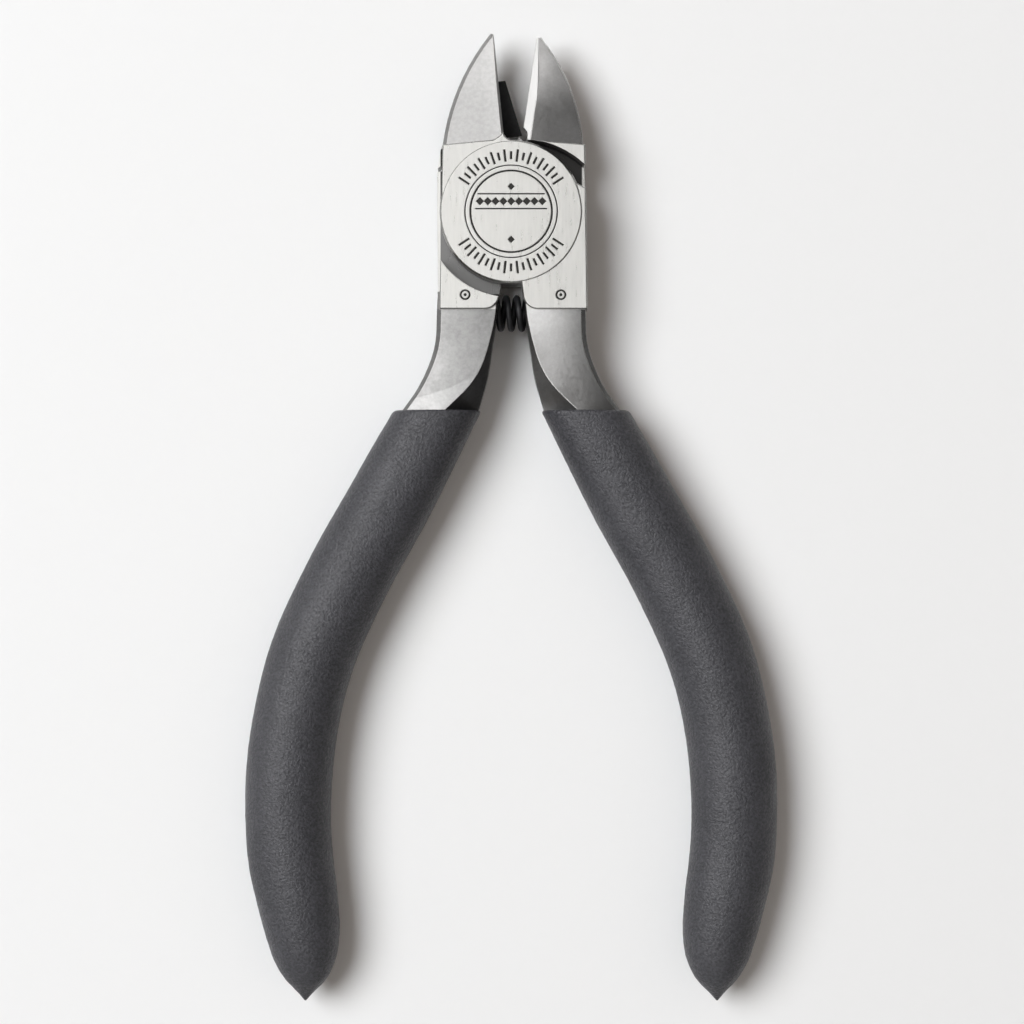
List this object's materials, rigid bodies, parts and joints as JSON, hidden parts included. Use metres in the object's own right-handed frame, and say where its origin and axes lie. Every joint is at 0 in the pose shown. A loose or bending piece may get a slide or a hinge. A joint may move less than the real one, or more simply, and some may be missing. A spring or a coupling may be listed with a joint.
{
  "type": "flush cutter",
  "caption": "Lap-joint flush cutter with tapered jaws, lead catcher, coil return spring between the shanks and dark foam-textured sleeve grips",
  "frame": {"origin": "pivot axis where it meets the flat rear face of the joint", "axes": "+Z is the pivot axis, from the rear face to the front face; +Y points from the pivot to the jaw tips; +X to the side of the rear lever's jaw"},
  "size_m": [0.069, 0.1255, 0.0106],
  "materials": {
    "tool_steel": "satin ground tool steel, pale on the joint block",
    "tool_steel_dark": "satin ground tool steel of the rear lever",
    "pivot_steel": "fine ground rivet head and washer",
    "black_spring_steel": "black oxide spring steel",
    "charcoal_grip": "matte dark charcoal, fine granular foam texture"
  },
  "bodies": {
    "rear_lever_body": {"rear_lever": "tool_steel_dark", "rear_lever_grip": "charcoal_grip", "return_spring": "black_spring_steel"},
    "front_lever_body": {"front_lever": "tool_steel", "front_lever_grip": "charcoal_grip", "pivot_rivet": "pivot_steel", "pivot_washer": "pivot_steel", "lead_catcher": "black_spring_steel", "lead_catcher_screw": "black_spring_steel"}
  },
  "joints": [
    {"name": "jaw_pivot", "type": "hinge", "parent": "rear_lever_body", "child": "front_lever_body", "pos_m": [0, 0, 0.0046], "axis": [0, 0, -1], "range_deg": [0, 13.6], "stiffness_Nm_per_rad": 1, "deforming": ["return_spring"]}
  ]
}
